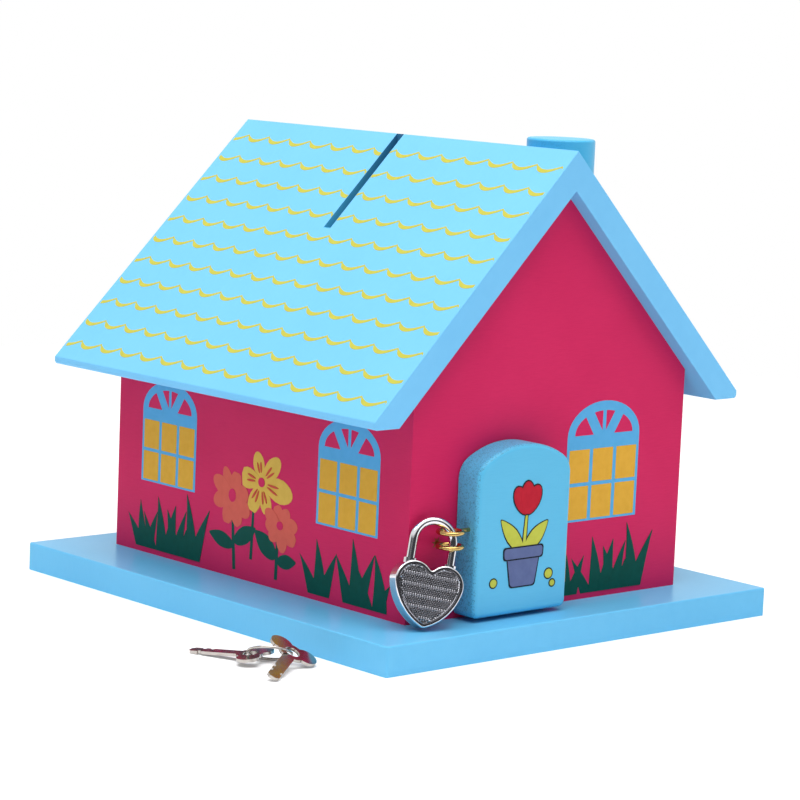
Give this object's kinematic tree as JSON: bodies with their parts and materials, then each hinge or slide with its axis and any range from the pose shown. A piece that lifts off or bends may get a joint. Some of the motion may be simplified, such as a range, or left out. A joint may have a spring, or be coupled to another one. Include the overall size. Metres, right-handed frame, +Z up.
{
  "type": "wooden money box",
  "caption": "Painted wooden house-shaped money box with a coin slot in the roof, a hinged front door, a heart padlock and keys on a ring",
  "frame": {"origin": "centre of the baseboard's underside", "axes": "+Z up, -Y out of the front gable with the door, ridge along Y, +X to the right seen from the front"},
  "size_m": [0.1908, 0.177, 0.1492],
  "materials": {
    "blue_paint": "satin sky-blue paint",
    "sky_paint": "satin light-blue paint",
    "pink_paint": "satin magenta-pink paint",
    "brass": "plated, slightly dull",
    "steel": "plain",
    "chrome": "bright plated",
    "nickel": "stamped, nickel plated",
    "green_print": "printed green ink on paint",
    "yellow_print": "printed yellow ink on paint",
    "orange_print": "printed orange ink on paint",
    "ochre_print": "printed ochre ink on paint",
    "red_print": "printed red ink on paint",
    "slate_print": "printed slate-blue ink on paint",
    "dark_print": "printed dark outline on paint"
  },
  "bodies": {
    "house": {"baseboard": "blue_paint", "front_gable_wall": "pink_paint", "rear_gable_wall": "pink_paint", "left_wall": "pink_paint", "right_wall": "pink_paint", "roof_panel_left": "sky_paint", "roof_panel_right": "sky_paint", "chimney": "blue_paint", "chimney_screw": "steel", "wall_eye": "brass", "lower_hinge_wall_leaf": "brass", "upper_hinge_wall_leaf": "brass", "lower_hinge_pin": "steel", "upper_hinge_pin": "steel", "hinge_wall_screws": "brass", "base_screws": "steel", "wall_brads": "steel", "roof_brads": "steel"},
    "door": {"door": "blue_paint", "door_eye": "brass", "lower_hinge_door_leaf": "brass", "upper_hinge_door_leaf": "brass", "hinge_door_screws": "brass"},
    "padlock": {"lock_case": "chrome", "lock_face_plate": "chrome", "lock_catch_spring": "steel"},
    "shackle": {"lock_shackle": "chrome"},
    "keyring": {"key_ring": "steel"},
    "first_key": {"key_1": "nickel"},
    "second_key": {"key_2": "nickel"}
  },
  "joints": [
    {"name": "door_hinge", "type": "hinge", "parent": "house", "child": "door", "pos_m": [0.0013, -0.0718, 0.0237], "axis": [0, 0, 1], "range_deg": [0, 95]},
    {"name": "padlock_swing", "type": "hinge", "parent": "house", "child": "padlock", "pos_m": [-0.0454, -0.0765, 0.03445], "axis": [0, 0, 1], "range_deg": [0, 40]},
    {"name": "shackle_lift", "type": "slide", "parent": "padlock", "child": "shackle", "axis": [0.2728, 0.1167, 0.955], "range_m": [0, 0.005], "deforming": ["lock_catch_spring"]},
    {"name": "keyring_lift", "type": "slide", "parent": "house", "child": "keyring", "axis": [0, 0, 1], "range_m": [0, 0.05]},
    {"name": "first_key_turn", "type": "hinge", "parent": "keyring", "child": "first_key", "pos_m": [-0.0979, -0.0583, 0.0035], "axis": [0.3295, 0.3472, 0.878], "range_deg": [0, 12]},
    {"name": "second_key_turn", "type": "hinge", "parent": "keyring", "child": "second_key", "pos_m": [-0.0979, -0.0583, 0.0035], "axis": [0.3295, 0.3472, 0.878], "range_deg": [-12, 0]}
  ]
}
